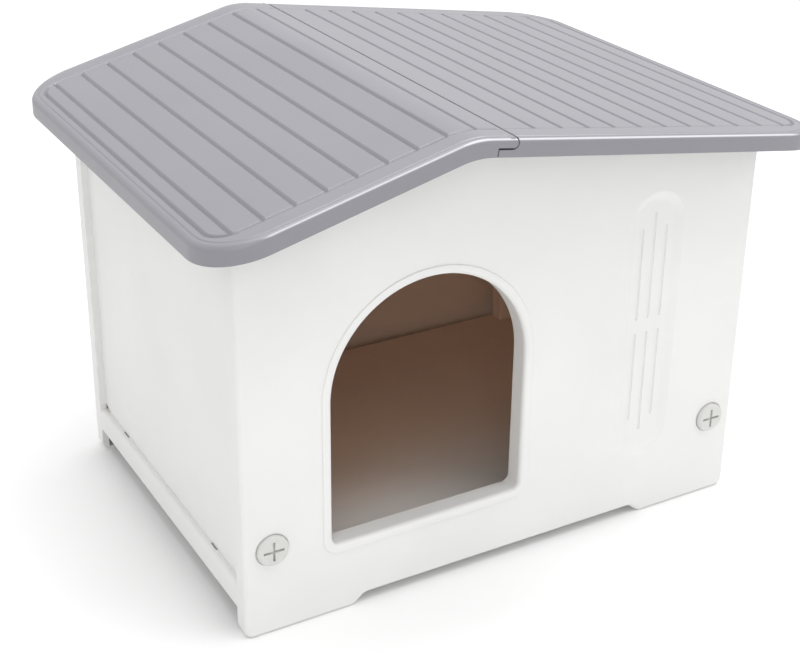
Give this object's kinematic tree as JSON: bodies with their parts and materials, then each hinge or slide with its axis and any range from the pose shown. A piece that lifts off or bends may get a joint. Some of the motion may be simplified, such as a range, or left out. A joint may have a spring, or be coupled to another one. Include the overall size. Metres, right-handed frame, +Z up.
{
  "type": "cat house",
  "caption": "Plastic cat house with tray-shaped gable panels, an arched doorway, a raised floor and a planked gable roof whose longer slope opens as a lid.",
  "frame": {"origin": "on the ground, below the middle of the roof's outline", "axes": "+X from left to right seen from the front, +Y from front to back, +Z up"},
  "size_m": [0.58, 0.45, 0.42],
  "materials": {
    "wall_plastic": "matte",
    "tray_plastic": "matte",
    "roof_plastic": "matte",
    "screw_plastic": "matte"
  },
  "bodies": {
    "house": {"front_panel": "wall_plastic", "back_panel": "wall_plastic", "left_wall": "wall_plastic", "right_wall": "wall_plastic", "floor_tray": "tray_plastic", "roof_fixed_half": "roof_plastic", "front_screws": "screw_plastic", "back_screws": "screw_plastic"},
    "lid": {"roof_lid": "roof_plastic"}
  },
  "joints": [
    {"name": "lid_hinge", "type": "hinge", "parent": "house", "child": "lid", "pos_m": [-0.041, 0, 0.41251], "axis": [0, -1, 0], "range_deg": [0, 99]}
  ]
}
